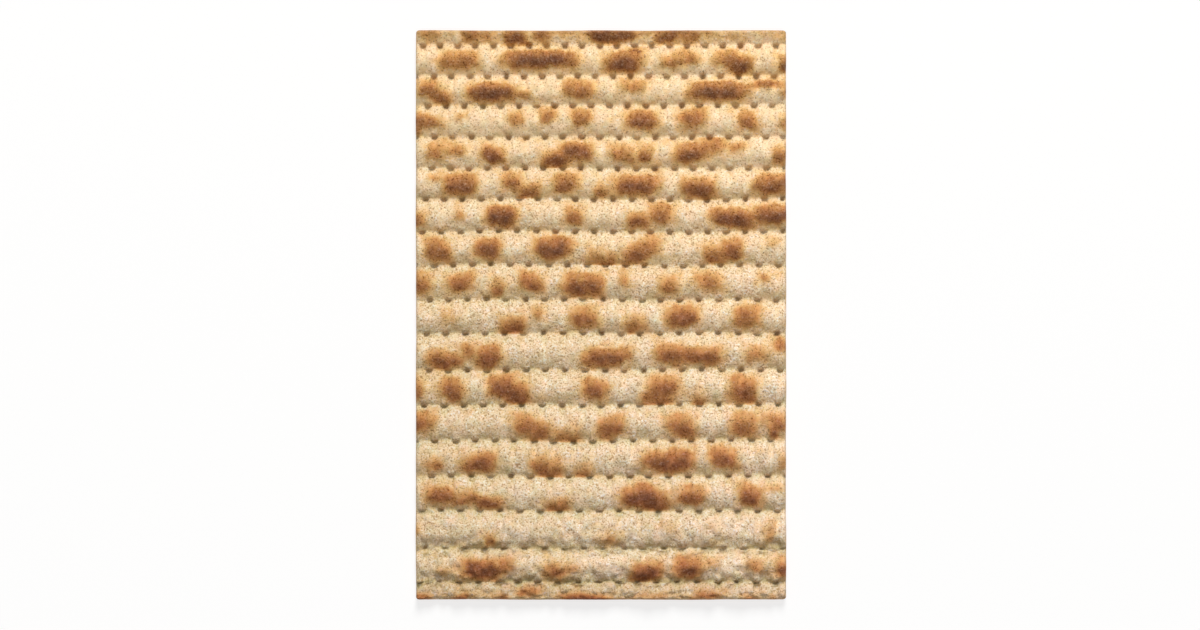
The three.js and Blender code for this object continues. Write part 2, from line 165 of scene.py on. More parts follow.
# The named inputs of the sheet's Geometry Nodes tree, in millimetres where they are lengths.
SHEET_INPUTS = {
    # The sheet and its ridges, which grow higher and fuller towards the near end.
    "Sheet width": SHEET_WIDTH,
    "Sheet length": SHEET_LENGTH,
    "Row height": 2.1,
    "Ridge height": 3.8,
    "Ridge wander": 0.3,
    "Near end growth": 0.35,
    "Near right growth": 0.3,
    "Far flank roundness": 1.65,
    "Near flank roundness": 1.0,
    "Near flank fullness": 0.22,
    "Right flank steepness": 0.12,
    "Row wander": 0.45,
    # The holes, with lips round them and tabs between them.
    "Hole depth": 1.35,
    "Hole half width": 1.1,
    "Hole half height": 0.95,
    "Hole wander": 0.3,
    "Hole raggedness": 0.3,
    "Near hole flatness": 0.55,
    "Near hole shift": 0.2,
    "Lip reach": 0.5,
    "Lip growth": 0.6,
    "Row unevenness": 0.35,
    # The blisters.
    "Blister rise": 0.9,
    "Blister slant": 0.12,
    "Near blister shift": 0.05,
    "Rim browning": 0.31,
    "Core browning": 0.5,
    "Halo browning": 0.09,
    "Halo reach": 3.2,
    # The fine relief of the dough, which is crumpled at the near end.
    "Lump height": 0.3,
    "Wrinkle height": 0.28,
    "Pimple height": 0.13,
    "Fold depth": 0.4,
    "Pillow height": 1.9,
    "Crumple start": 0.8,
    "Crumple full": 0.95,
    "Least thickness": 0.2,
    # The underside and the edge.
    "Groove depth": 0.6,
    "Groove half width": 1.7,
    "Corner radius": 0.9,
    "Edge bulge": 0.35,
    "Edge band": 0.6,
    "Edge low": 0.45,
    "Edge share": 0.8,
    "Edge wander": 0.2,
    "Edge wander reach": 6,
    "Far fringe": 5.2,
    "Near fringe": 3.8,
    "Golden browning": 0.14,
    "Underside browning": 0.35,
    "Seed": 4,
}

# What the tree leaves on the sheet for its material: how toasted a place is and how deep in a hole,
# where the material paints shade behind a ridge and in a trough of the crumpled end, whether it lies at a
# ridge's foot or on the brink of the far end, whose rim the material darkens as painted shade, and how
# near and how far to the right it is.
MARKS = ("toast", "hollow", "lee", "trough", "foot", "brink", "near", "side")


def operator(operation):
    """What a sign of arithmetic does between two values."""
    return lambda value, other: value.math(operation, other)


class Value:
    """A number that nodes work out. Arithmetic on it adds Math nodes to its tree."""

    __add__ = __radd__ = operator("ADD")
    __mul__ = __rmul__ = operator("MULTIPLY")
    __sub__ = operator("SUBTRACT")
    __truediv__ = operator("DIVIDE")
    __pow__ = operator("POWER")

    def __init__(self, socket):
        self.socket = socket
        self.tree = socket.id_data

    def math(self, operation, *others, clamp=False):
        node = self.tree.nodes.new("ShaderNodeMath")
        node.operation = operation
        node.use_clamp = clamp
        for socket, value in zip(node.inputs, (self, *others)):
            plug(value, socket)
        return Value(node.outputs[0])

    def __rsub__(self, other):
        return self * -1 + other


def plug(value, socket):
    """Joins a value to a socket, or sets the socket to it where it is a plain number or word."""
    if isinstance(value, Value):
        value = value.socket
    if isinstance(value, bpy.types.NodeSocket):
        socket.id_data.links.new(value, socket)
    else:
        socket.default_value = value


def add_node(tree, kind, inputs=None, **settings):
    """A new node with its settings and named inputs."""
    node = tree.nodes.new(kind)
    for name, setting in settings.items():
        setattr(node, name, setting)
    for name, value in (inputs or {}).items():
        plug(value, node.inputs[name])
    return node


def sine(value):
    return value.math("SINE")


def floor(value):
    return value.math("FLOOR")


def rounded(value):
    return (value + 0.5).math("FLOOR")


def size_of(value):
    return value.math("ABSOLUTE")


def least(value, other):
    return value.math("MINIMUM", other)


def most(value, other):
    return value.math("MAXIMUM", other)


def root(value):
    return most(value, 0).math("SQRT")


def within(value):
    """The value, but never less than 0 or more than 1."""
    return value.math("ADD", 0, clamp=True)


def fade(value, start, end):
    """Goes smoothly from 0 at start to 1 at end."""
    node = add_node(value.tree, "ShaderNodeMapRange", {
        "Value": value, "From Min": start, "From Max": end}, interpolation_type="SMOOTHSTEP")
    return Value(node.outputs["Result"])


def blend(share, first, second):
    """The first value where share is 0, the second where it is 1."""
    return first + share * (second - first)


# Three waves that cross each other, each as (steepness along, steepness across, shift).
WAVES = [(1.3, 0.7, 0), (0.57, -1.9, 1.7), (2.3, 3.1, 0.4)]


def wander(a, b):
    """The same slow unevenness from -1 to 1 as the CAD part's."""
    return sum(sine(along * a + across * b + shift) for along, across, shift in WAVES) / len(WAVES)


def point_cloud(name, places, **numbers):
    """An object of loose points that the sheet's tree reads, each with its own numbers."""
    mesh = bpy.data.meshes.new(name)
    mesh.from_pydata(places, [], [])
    for attribute, values in numbers.items():
        mesh.attributes.new(attribute, "FLOAT", "POINT").data.foreach_set("value", values)
    made = bpy.data.objects.new(name, mesh)
    bpy.context.collection.objects.link(made)
    return made


def row_places():
    """How far down the sheet each row of holes lies."""
    places = []
    for gap in ROW_GAPS:
        places.append((places[-1] if places else 0) + gap)
    return places


def rows_object():
    """A point for the far end, each row and the near end, with the ridge after it and its holes."""
    rows = row_places()
    bulge = SHEET_INPUTS["Edge bulge"]
    downs = [bulge, *rows, SHEET_LENGTH - bulge]
    pitches = [FIRST_PITCH + PITCH_GROWTH * row - PITCH_SLOWING * row * row for row in range(len(rows))]
    return point_cloud(
        "rows",
        [(0, down, 0) for down in downs],
        down=downs,
        ridge_start=[rows[0] - FIRST_RIDGE, *rows, SHEET_LENGTH],
        ridge_end=[*rows, rows[-1] + LAST_RIDGE, SHEET_LENGTH + LAST_RIDGE],
        first_hole=[0, *FIRST_HOLES, 0],
        pitch=[END_PITCH, *pitches, END_PITCH],
        tab=[0, *TAB_REACHES, 0],
    )


def blisters_object():
    """A point for each blister. Every ridge has the same number, so the spare ones lie nowhere."""
    middles, lengths, brownings, downs, heights = [], [], [], [], []
    for ridge in BLISTERS:
        spare = [(NOWHERE, 1, 0, 50)] * (MOST_BLISTERS - len(ridge))
        for middle, length, browning, down, *height in ridge + spare:
            usual = USUAL_HEIGHT + min(length, HIGHEST_FROM_LENGTH)
            middles.append(middle)
            lengths.append(length)
            brownings.append(browning / 100)
            downs.append(down / 100)
            heights.append((height[0] if height else usual) / 100)
    return point_cloud(
        "blisters",
        [(middle, 0, 0) for middle in middles],
        middle=middles,
        length=lengths,
        browning=brownings,
        place=downs,
        height=heights,
    )


# The kinds of unevenness: (size of its lumps, number of finer layers, its own part of the noise).
UNEVENNESS = {
    "blisters' places across": (6, 2, 11),
    "blisters' outlines across": (1.8, 2, 12),
    "blisters' places down": (7, 2, 13),
    "blisters' outlines down": (1.8, 2, 14),
    "lumps": (4.5, 3, 21),
    "wrinkles": (2.6, 2, 22),
    "pimples": (1.3, 2, 31),
    "underside": (7, 3, 41),
    "browned ends": (8, 3, 42),
    "shaded feet": (5, 2, 43),
    "tabs": (4.5, 2, 51),
    "rims across": (1.5, 1, 52),
    "rims down": (1.5, 1, 53),
    "folds": (4.2, 1, 61),
    "pillows": (3.4, 2, 62),
    "golden dough": (5, 3, 71),
}
SEED_STEP = 7.3

# How far the noise moves a blister's place and its outline, across in millimetres and down in ridges.
WARP_ACROSS = (1.7, 0.7)
WARP_DOWN = (0.18, 0.09)

# How slanted wrinkles run: (how much they lean, how closely they lie, how much they turn).
FOLD_SLANT = (0.5, 1.2, 0.3)
PILLOW_SLANT = (0.4, 1.7, 0.3)
WRINKLE_CLOSENESS, GOLDEN_CLOSENESS = 1.5, 1.3

# How far apart on the waves and in the noise neighbouring holes, blisters, rows and ridges lie, so that
# they come out unlike each other, and where each edge lies there.
STEP_ACROSS, STEP_DOWN, ROW_STEP, RIDGE_STEP, TAB_STEP = 3, 7, 5, 4, 9
LEFT_EDGE, RIGHT_EDGE, FAR_EDGE, NEAR_EDGE = 3, 11, 5, 17

# How slowly the ridges' height, the edges and the rows' sway change: millimetres for a step of the waves.
RIDGE_WAVE, EDGE_WAVE, SWAY_ACROSS, SWAY_DOWN = 9, 9, 14, 30

# The finely divided block that becomes the sheet. Its lowest vertices make the underside.
LINES_ON_A_RIDGE = 16
LINE_CROWDING = 0.5
COLUMNS = 300
EDGE_STEPS = 4
UNDERSIDE_BAND, UNDERSIDE_STEP = (0.01, 0), 4
SAME_PLACE = 0.000002

# The holes: how much they differ in width, height, place and depth, how they taper, and where their
# wall starts and ends. A tab starts and is whole at these shares of a hole's half width.
HOLE_WIDTHS, HOLE_HEIGHTS, HOLE_SHIFTS = 0.2, 0.25, 0.25
HOLE_TOP, HOLE_TAPER = 0.9, 0.25
HOLE_WALL = (1.15, 0.45)
HOLE_DEPTH_SHARE, HOLE_DEPTHS = 0.82, 0.45
TAB_START, TAB_WHOLE = 0.6, 1.15
CRUMPLED_ROWS = 2.2

# The blisters: a brown rim, crisper at its far side, a darker core towards the near side, and a pale
# gold halo. Places in a blister go from -1 to 1. Long ones have a flatter core and a crisper rim, and
# flat or pale ones lift the dough less.
LONG_FROM, LONG_AT = 8, 18
NEAR_SHIFT_BAND = (0.6, 1)
CRISPNESS, LONG_CRISPNESS, CRUMPLED_CRISPNESS = 1.3, 0.35, 0.8
RIM_OUTSIDE, RIM_INSIDE = 1.3, 0.42
CRISP_OUTSIDE, CRISP_INSIDE = 0.17, 0.33
CORE_PLACE, LONG_CORE_PLACE, CORE_HALF_HEIGHT = 0.25, 0.12, 0.85
CORE_BAND = (1.15, 0.1)
HALO_FROM, USUAL_RIDGE, HALO_GAIN = 0.8, 10, 1.6
LIFT_EDGE, LIFT_STEEPNESS, FLAT_BLISTER = 1.1, 1.3, 8
LEAST_LIFT = 0.3

# The upper face: how the fine relief grows towards the near end and in the crumpled dough.
FAR_LUMPS, LUMP_GROWTH, CRUMPLED_LUMPS = 0.8, 0.8, 1.1
FAR_WRINKLES, CRUMPLED_WRINKLES = 0.5, 0.9
FOLD_BAND = (0.2, 0)
FAR_PILLOWS = 0.12
RELIEF_GAIN, RELIEF_LIMIT = 1.12, 0.45

# The browning besides the blisters: how far from the edge it is full, its strength everywhere and its
# strength in patches.
FAR_FULL, FAR_BROWNING, FAR_PATCHES = 1, 0.1, 0.5
FAR_EDGE_BAND, FAR_EDGE_BROWNING = (2.2, 0.5), 0.08
NEAR_FULL, NEAR_BROWNING, NEAR_PATCHES, NEAR_PATCH_GAIN = 0.4, 0.04, 0.35, 2.5
GOLDEN_GAIN, GOLDEN_LESS = 1.5, 0.08
NEAR_PALENESS = 0.08
UNDERSIDE_PATCHES = 0.25

# Where on a ridge the painted shade behind it and the painted shade in a trough start and end, and where
# the painted shade behind the ridges starts from the far end on. How high up a ridge its foot goes, and
# how far in the far end's brink.
LEE_IN, LEE_OUT = (0.5, 0.8), (1.02, 0.9)
LEE_SHARE, LEE_PATCHES = 0.4, 2.6
LEE_FROM_FAR_END = (4.5, 8)
TROUGH_IN, TROUGH_OUT = (0.72, 0.9), (1.03, 0.98)
FOOT_HEIGHT = 0.5
BRINK_BAND = (1.5, 0.4)


def slanted(across, down, lean, closeness, turn):
    """A place, leant and turned, so that what is made there runs aslant."""
    return across + down * lean, down * closeness - across * turn


def inner(index, last):
    """1 on every line or column but the first and the last, where it is 0."""
    return fade(index, 0, 0.5) * fade(index, last, last - 0.5)


def gathered(index, last):
    """The nearest of the lines or columns that the underside has."""
    coarse = rounded(index / UNDERSIDE_STEP) * UNDERSIDE_STEP
    return least(most(coarse, UNDERSIDE_STEP), last - UNDERSIDE_STEP)


def flank(distance, width, roundness):
    """How high a ridge's flank is at this distance from its foot: 0 there and 1 at half the width."""
    return sine(least(most(distance / width, 0), 0.5) * math.pi) ** roundness


class SheetTree:
    """The Geometry Nodes tree that makes the whole sheet from a finely divided block. Each step keeps
    what it works out on the mesh, and the later steps read it from there."""

    def __init__(self):
        self.tree = bpy.data.node_groups.new("matzo_sheet", "GeometryNodeTree")
        self.tree.is_modifier = True
        sockets = self.tree.interface
        sockets.new_socket("Blisters", in_out="INPUT", socket_type="NodeSocketGeometry")
        sockets.new_socket("Rows", in_out="INPUT", socket_type="NodeSocketObject")
        sockets.new_socket("Dough", in_out="INPUT", socket_type="NodeSocketMaterial")
        for name in SHEET_INPUTS:
            sockets.new_socket(name, in_out="INPUT", socket_type="NodeSocketFloat")
        sockets.new_socket("Sheet", in_out="OUTPUT", socket_type="NodeSocketGeometry")
        given = self.tree.nodes.new("NodeGroupInput").outputs
        self.blisters, self.dough = given["Blisters"], given["Dough"]
        self.rows = self.add("GeometryNodeObjectInfo", {"Object": given["Rows"]}).outputs["Geometry"]
        self.size = SimpleNamespace(**{
            name.lower().replace(" ", "_"): Value(given[name]) for name in SHEET_INPUTS})
        self.kept_names = []
        self.divide_block()
        self.lay_out()
        self.raise_ridges()
        self.bake_blisters()
        self.leave_marks()
        self.shape()
        self.finish()

    def add(self, kind, inputs=None, **settings):
        return add_node(self.tree, kind, inputs, **settings)

    def change(self, kind, inputs=None):
        """Passes the mesh through a node."""
        self.mesh = self.add(kind, {"Geometry": self.mesh, **(inputs or {})}).outputs["Geometry"]

    def named(self, name):
        return self.add("GeometryNodeInputNamedAttribute", {"Name": name}).outputs["Attribute"]

    def keep(self, **numbers):
        """Stores numbers on the mesh, and gives them as they are read from it."""
        for name, value in numbers.items():
            self.change("GeometryNodeStoreNamedAttribute", {"Name": name, "Value": value})
        self.kept_names.extend(numbers)
        return [Value(self.named(name)) for name in numbers]

    def sampled(self, points, name, index):
        """A number of the point with this index. The half keeps it from being cut down by one."""
        node = self.add("GeometryNodeSampleIndex", {
            "Geometry": points, "Value": self.named(name), "Index": index + 0.5})
        return Value(node.outputs["Value"])

    def uneven(self, kind, across, down):
        """Noise of this kind, from about -1 to 1."""
        grain, layers, part = UNEVENNESS[kind]
        place = self.add("ShaderNodeCombineXYZ", {
            "X": across, "Y": down, "Z": self.size.seed * SEED_STEP + part})
        node = self.add("ShaderNodeTexNoise", {
            "Vector": place.outputs[0], "Scale": 1 / grain, "Detail": layers}, normalize=True)
        return Value(node.outputs[0]) * 2 - 1

    def divide_block(self):
        """A block of one by one by one, whose faces become the sheet's two faces and its edge. The
        underside needs fewer vertices, so its inner ones gather on every fourth line and column."""
        lines = RIDGES * LINES_ON_A_RIDGE
        block = self.add("GeometryNodeMeshCube", {
            "Size": (1, 1, 1), "Vertices X": COLUMNS + 1, "Vertices Y": lines + 1,
            "Vertices Z": EDGE_STEPS + 1})
        self.mesh = block.outputs["Mesh"]
        position = self.add("GeometryNodeInputPosition").outputs[0]
        place = self.add("ShaderNodeSeparateXYZ", {"Vector": position}).outputs
        column = rounded((Value(place["X"]) + 0.5) * COLUMNS)
        line = rounded((Value(place["Y"]) * -1 + 0.5) * lines)
        face = Value(place["Z"]) + 0.5
        under = fade(face, *UNDERSIDE_BAND) * inner(column, COLUMNS) * inner(line, lines)
        self.column, self.line, self.face = self.keep(
            column=blend(under, column, gathered(column, COLUMNS)),
            line=blend(under, line, gathered(line, lines)),
            face=face)

    def lay_out(self):
        """Where each vertex lies on the sheet, with more lines near the rows than between them."""
        size = self.size
        ridge = least(floor(self.line / LINES_ON_A_RIDGE), RIDGES - 1)
        cell = self.line / LINES_ON_A_RIDGE - ridge
        crowded = cell - sine(cell * (2 * math.pi)) * (LINE_CROWDING / (2 * math.pi))
        down = blend(
            crowded, self.sampled(self.rows, "down", ridge), self.sampled(self.rows, "down", ridge + 1))
        from_end = least(down - size.edge_bulge, size.sheet_length - size.edge_bulge - down)
        corner = most(size.corner_radius - from_end, 0)
        rounding = size.corner_radius - root(size.corner_radius ** 2 - corner * corner)
        inset = size.edge_bulge + rounding
        across = inset + (self.column / COLUMNS) * (size.sheet_width - 2 * inset)
        self.across, self.down, self.ridge = self.keep(across=across, down=down, ridge=ridge)
        self.to_near_end = self.down / size.sheet_length
        self.side = self.across / (size.sheet_width * 0.5) - 1
        self.crumple = fade(self.to_near_end, size.crumple_start, size.crumple_full)

    def row(self, number):
        """A row's hole that is nearest to a vertex, and how far the row's line steps aside there: round
        a hole it steps down the sheet as a lip, and between two holes it steps up as a tab."""
        size = self.size
        first = self.sampled(self.rows, "first_hole", number)
        pitch = self.sampled(self.rows, "pitch", number)
        even = first + rounded((self.across - first) / pitch) * pitch
        aside = self.across - even - size.hole_wander * wander(even, (number - 1) * ROW_STEP)
        half_width = size.hole_half_width
        between = fade(size_of(aside), half_width * TAB_START, half_width * TAB_WHOLE)
        lip = size.lip_reach * (1 + self.to_near_end * size.lip_growth)
        tab = self.sampled(self.rows, "tab", number)
        uneven = (self.uneven("tabs", self.across, number * TAB_STEP) * size.row_unevenness
                  * (1 + self.crumple * CRUMPLED_ROWS))
        return SimpleNamespace(
            aside=aside,
            character=wander(even * STEP_ACROSS, number * STEP_DOWN),
            step=blend(between, lip, tab * -1) + uneven)

    def funnel(self, hole, below, ragged_across, ragged_down):
        """How deep a vertex lies in a hole, from 0 at its rim to about 1 on its floor."""
        size = self.size
        half_height = (size.hole_half_height * (1 - self.to_near_end * size.near_hole_flatness)
                       * (1 + hole.character * HOLE_HEIGHTS))
        below = (below + ragged_down + hole.character * HOLE_SHIFTS
                 + self.to_near_end * size.near_hole_shift)
        b = below / half_height
        half_width = (size.hole_half_width * (1 - hole.character * HOLE_WIDTHS)
                      * (HOLE_TOP - b * HOLE_TAPER))
        a = (hole.aside + ragged_across) / half_width
        reach = root(root(a ** 4 + b ** 4))
        return fade(reach, *HOLE_WALL) * (HOLE_DEPTH_SHARE + hole.character * HOLE_DEPTHS)

    def raise_ridges(self):
        """The ridges and the holes. A ridge rises slowly from the row before it and drops faster to the
        row after it, where the foot of the next ridge already starts."""
        size, across, down = self.size, self.across, self.down
        start = self.sampled(self.rows, "ridge_start", self.ridge)
        end = self.sampled(self.rows, "ridge_end", self.ridge)
        next_width = self.sampled(self.rows, "ridge_end", self.ridge + 1) - end
        width = end - start
        before, after = self.row(self.ridge), self.row(self.ridge + 1)
        far_roundness = size.far_flank_roundness
        fullness = size.near_flank_fullness - size.right_flank_steepness * self.side
        near_roundness = size.near_flank_roundness - self.to_near_end * fullness
        swell = (flank(down - start - before.step, width, far_roundness)
                 * flank(end + after.step - down, width, near_roundness)
                 + flank(down - end - after.step, next_width, far_roundness))
        ragged_across = self.uneven("rims across", across, down) * size.hole_raggedness
        ragged_down = self.uneven("rims down", across, down) * size.hole_raggedness
        hollow = most(
            self.funnel(before, down - start, ragged_across, ragged_down),
            self.funnel(after, down - end, ragged_across, ragged_down))
        self.swell, self.hollow, self.over = self.keep(
            swell=swell, hollow=hollow, over=(down - start) / width)
        self.ridge_width = width

    def bake_blisters(self):
        """The blisters: each ridge's are made one after the other. Where two meet, their browning adds
        up and the higher lift is kept."""
        across, down = self.across, self.down
        warp_across = (self.uneven("blisters' places across", across, down) * WARP_ACROSS[0]
                       + self.uneven("blisters' outlines across", across, down) * WARP_ACROSS[1])
        warp_down = (self.uneven("blisters' places down", across, down) * WARP_DOWN[0]
                     + self.uneven("blisters' outlines down", across, down) * WARP_DOWN[1])
        self.warped_across, self.warped_over = self.keep(
            warped_across=across + warp_across, warped_over=self.over + warp_down)
        zone_in = self.add("GeometryNodeRepeatInput")
        zone_out = self.add("GeometryNodeRepeatOutput")
        zone_in.pair_with_output(zone_out)
        zone_out.repeat_items.new("FLOAT", "Browning")
        zone_out.repeat_items.new("FLOAT", "Lift")
        zone_in.inputs["Iterations"].default_value = MOST_BLISTERS
        plug(self.mesh, zone_in.inputs["Geometry"])
        browning, lift = self.blister(Value(zone_in.outputs["Iteration"]))
        before = Value(zone_in.outputs["Browning"])
        plug(before + browning - before * browning, zone_out.inputs["Browning"])
        plug(most(Value(zone_in.outputs["Lift"]), lift), zone_out.inputs["Lift"])
        plug(zone_in.outputs["Geometry"], zone_out.inputs["Geometry"])
        self.mesh = zone_out.outputs["Geometry"]
        self.browned, self.lift = self.keep(
            browned=Value(zone_out.outputs["Browning"]), lift=Value(zone_out.outputs["Lift"]))

    def blister(self, turn):
        """How much one of its ridge's blisters browns and lifts a vertex."""
        size = self.size
        middle, length, browning, place, tall = [
            self.sampled(self.blisters, name, self.ridge * MOST_BLISTERS + turn)
            for name in ("middle", "length", "browning", "place", "height")]
        half = length * 0.5
        beside = (self.warped_across - middle) / half
        slant = wander(turn * STEP_ACROSS, self.ridge * STEP_DOWN) * size.blister_slant
        centre = place + fade(self.to_near_end, *NEAR_SHIFT_BAND) * size.near_blister_shift
        below = (self.warped_over - centre - beside * slant) / tall
        round_reach = beside * beside + below * below
        reach = root(root(beside ** 4 + below ** 4) * 0.5 + round_reach * 0.5)
        long_share = within((length - LONG_FROM) / (LONG_AT - LONG_FROM))
        crisp = (within(below * -CRISPNESS) * (1 + long_share * LONG_CRISPNESS)
                 * (1 - self.crumple * CRUMPLED_CRISPNESS))
        rim = fade(reach, RIM_OUTSIDE - crisp * CRISP_OUTSIDE, RIM_INSIDE + crisp * CRISP_INSIDE)
        low = (below - CORE_PLACE + long_share * LONG_CORE_PLACE) / CORE_HALF_HEIGHT
        core_reach = root(beside * beside * blend(long_share, 1, beside * beside) + low * low)
        gap_across = most(size_of(beside) - HALO_FROM, 0) * half
        gap_down = most(size_of(below) - HALO_FROM, 0) * tall * USUAL_RIDGE
        gap = root(gap_across * gap_across + gap_down * gap_down)
        halo = fade(gap, size.halo_reach, 0) * within(browning * HALO_GAIN)
        core = fade(core_reach, *CORE_BAND)
        browned = (rim * (size.rim_browning + core * size.core_browning) * browning
                   + halo * size.halo_browning)
        lifted = within((LIFT_EDGE - round_reach) * LIFT_STEEPNESS) * within(tall * FLAT_BLISTER)
        return browned, lifted * (browning * (1 - LEAST_LIFT) + LEAST_LIFT)

    def leave_marks(self):
        """What the material reads from the sheet."""
        size, across, down, over = self.size, self.across, self.down, self.over
        patches = self.uneven("browned ends", across, down)
        far_end = (fade(down, size.far_fringe, FAR_FULL) * (FAR_BROWNING + patches * FAR_PATCHES)
                   + fade(down, *FAR_EDGE_BAND) * FAR_EDGE_BROWNING)
        near_end = (fade(size.sheet_length - down, size.near_fringe, NEAR_FULL)
                    * (NEAR_BROWNING + within(patches * NEAR_PATCH_GAIN) * NEAR_PATCHES))
        browned = most(self.browned, most(far_end, near_end))
        golden = within(
            self.uneven("golden dough", across, down * GOLDEN_CLOSENESS) * GOLDEN_GAIN - GOLDEN_LESS)
        browned = browned + golden * size.golden_browning * (1 - browned)
        browned = browned * (1 - within(self.to_near_end) * NEAR_PALENESS)
        underside = (size.underside_browning
                     + self.uneven("underside", across, down) * UNDERSIDE_PATCHES)
        # Painted shade on the near flank of each ridge, in patches, from a little way past the far end
        # on.
        lee = (fade(over, *LEE_IN) * fade(over, *LEE_OUT)
               * within(LEE_SHARE + self.uneven("shaded feet", across, down) * LEE_PATCHES))
        self.keep(
            toast=blend(self.face, underside, browned),
            lee=lee * fade(down, *LEE_FROM_FAR_END),
            # The troughs, which the material darkens as painted shade.
            trough=fade(over, *TROUGH_IN) * fade(over, *TROUGH_OUT) * self.crumple,
            foot=within(1 - self.swell / FOOT_HEIGHT),
            # The far end's brink, whose rim faces the lamp and which the material darkens as painted
            # shade.
            brink=fade(down, *BRINK_BAND),
            near=within(self.to_near_end),
            side=self.side)

    def wrinkles(self):
        """The wrinkles, and the pillows and sharp folds of the crumpled near end, none too high."""
        size, across, down = self.size, self.across, self.down
        wrinkles = (self.uneven("wrinkles", across, down * WRINKLE_CLOSENESS) * size.wrinkle_height
                    * (FAR_WRINKLES + self.to_near_end + self.crumple * CRUMPLED_WRINKLES))
        folds = fade(size_of(self.uneven("folds", *slanted(across, down, *FOLD_SLANT))), *FOLD_BAND)
        pillows = self.uneven("pillows", *slanted(across, down, *PILLOW_SLANT)) * size.pillow_height
        relief = wrinkles + (pillows - folds * size.fold_depth) * (FAR_PILLOWS + self.crumple)
        return relief * RELIEF_GAIN / (1 + size_of(relief) * RELIEF_LIMIT)

    def height(self):
        """The height of a vertex, on the upper face, the underside or the edge between them."""
        size, across, down = self.size, self.across, self.down
        to_side = least(across, size.sheet_width - across) - size.edge_bulge
        to_end = least(down, size.sheet_length - down) - size.edge_bulge
        rounding = root(1 - (1 - within(least(to_side, to_end) / size.edge_band)) ** 2)
        crest = (size.ridge_height - size.row_height
                 + size.ridge_wander * wander(across / RIDGE_WAVE, self.ridge * RIDGE_STEP)
                 + size.near_end_growth * (self.to_near_end - 0.5)
                 + size.near_right_growth * self.side * self.to_near_end)
        lumps = (self.uneven("lumps", across, down) * size.lump_height
                 * (FAR_LUMPS + self.to_near_end * LUMP_GROWTH + self.crumple * CRUMPLED_LUMPS))
        pimples = self.uneven("pimples", across, down) * size.pimple_height
        upper = (size.row_height + self.swell * (crest + self.lift * size.blister_rise + lumps)
                 + self.wrinkles() + pimples - self.hollow * size.hole_depth)
        upper = size.edge_low + (upper - size.edge_low) * blend(rounding, size.edge_share, 1)
        from_row = least(self.over, 1 - self.over) * self.ridge_width
        groove = fade(from_row, size.groove_half_width, 0)
        lower = most(size.edge_low * (1 - rounding), size.groove_depth * groove)
        return blend(self.face, lower, most(upper, lower + size.least_thickness))

    def bulged(self, value, whole):
        """A place along the sheet, moved outwards by the bulge of the edge halfway up it."""
        bulge = sine(self.face * math.pi) * self.size.edge_bulge
        half = whole / 2
        return half + (value - half) * (1 + bulge / (half - self.size.edge_bulge))

    def drawn_in(self, distance, along, edge):
        """How far the dough at this distance from an edge is drawn inwards with it."""
        nearness = most(1 - distance / self.size.edge_wander_reach, 0)
        return nearness * self.size.edge_wander * 0.5 * (1 + wander(along / EDGE_WAVE, edge))

    def shape(self):
        """Moves each vertex to its place. The edge bulges out, the rows sway a little and the edges are
        drawn in here and there."""
        size = self.size
        wide, long = size.sheet_width, size.sheet_length
        across, down = self.bulged(self.across, wide), self.bulged(self.down, long)
        sway = (size.row_wander * wander(across / SWAY_ACROSS, down / SWAY_DOWN)
                * sine(down / long * math.pi))
        x = (across + self.drawn_in(across, down, LEFT_EDGE)
             - self.drawn_in(wide - across, down, RIGHT_EDGE) - wide / 2)
        y = (down + self.drawn_in(down, across, FAR_EDGE)
             - self.drawn_in(long - down, across, NEAR_EDGE) + sway - long / 2)
        place = self.add("ShaderNodeCombineXYZ", {"X": x * MM, "Y": y * -MM, "Z": self.height() * MM})
        self.change("GeometryNodeSetPosition", {"Position": place.outputs[0]})

    def finish(self):
        """One closed, smooth mesh in its material, with no other numbers on it than the material's."""
        self.change("GeometryNodeMergeByDistance", {"Distance": SAME_PLACE})
        for name in self.kept_names:
            if name not in MARKS:
                self.change("GeometryNodeRemoveAttribute", {"Name": name})
        self.change("GeometryNodeSetShadeSmooth")
        self.change("GeometryNodeRealizeInstances")
        self.change("GeometryNodeSetMaterial", {"Material": self.dough})
        plug(self.mesh, self.tree.nodes.new("NodeGroupOutput").inputs["Sheet"])


def srgb(red, green, blue):
    """A colour given in 0 to 255 as an eye sees it, as the linear colour that a shader takes."""
    def linear(part):
        part /= 255
        return part / 12.92 if part <= 0.04045 else ((part + 0.055) / 1.055) ** 2.4
    return (linear(red), linear(green), linear(blue), 1)


# The dough's colours, the more it is toasted: (how much, colour).
TOASTED = [
    (0.0, srgb(240, 215, 176)),
    (0.08, srgb(233, 197, 140)),
    (0.2, srgb(216, 170, 107)),
    (0.32, srgb(195, 143, 84)),
    (0.46, srgb(172, 120, 70)),
    (0.62, srgb(147, 99, 60)),
    (0.8, srgb(122, 81, 55)),
    (1.0, srgb(98, 65, 51)),
]

# The colours over it: painted shade behind the ridges at either end, loose flour, the grain's lighter and
# darker specks on brown and on pale dough, which are partly painted highlight and shade on its fine
# bumps, painted shade in the holes, the pale dough towards the near end, the bran, and the ridges' feet
# there.
# The tints multiply what lies below them.
FAR_LEE_SHADE, NEAR_LEE_SHADE = srgb(200, 172, 106), srgb(166, 145, 108)
FLOUR = srgb(246, 232, 208)
LIGHT_GRAIN_AND_HIGHLIGHT_ON_BROWN, LIGHT_GRAIN_AND_HIGHLIGHT_ON_PALE = srgb(214, 178, 140), srgb(252, 248, 232)
DARK_GRAIN_AND_SHADE_ON_BROWN, DARK_GRAIN_AND_SHADE_ON_PALE = srgb(92, 48, 14), srgb(158, 120, 80)
HOLE_SHADE = srgb(124, 92, 56)
PINKISH, OLIVE = srgb(240, 216, 196), srgb(208, 188, 132)
BRAN = srgb(112, 70, 46)
NEAR_FOOT = srgb(206, 190, 130)
FAR_TINT, NEAR_TINT = (1.03, 0.985, 0.93, 1), (0.985, 0.99, 1.035, 1)
NEAR_BROWN_TINT = (1.02, 0.85, 0.9, 1)

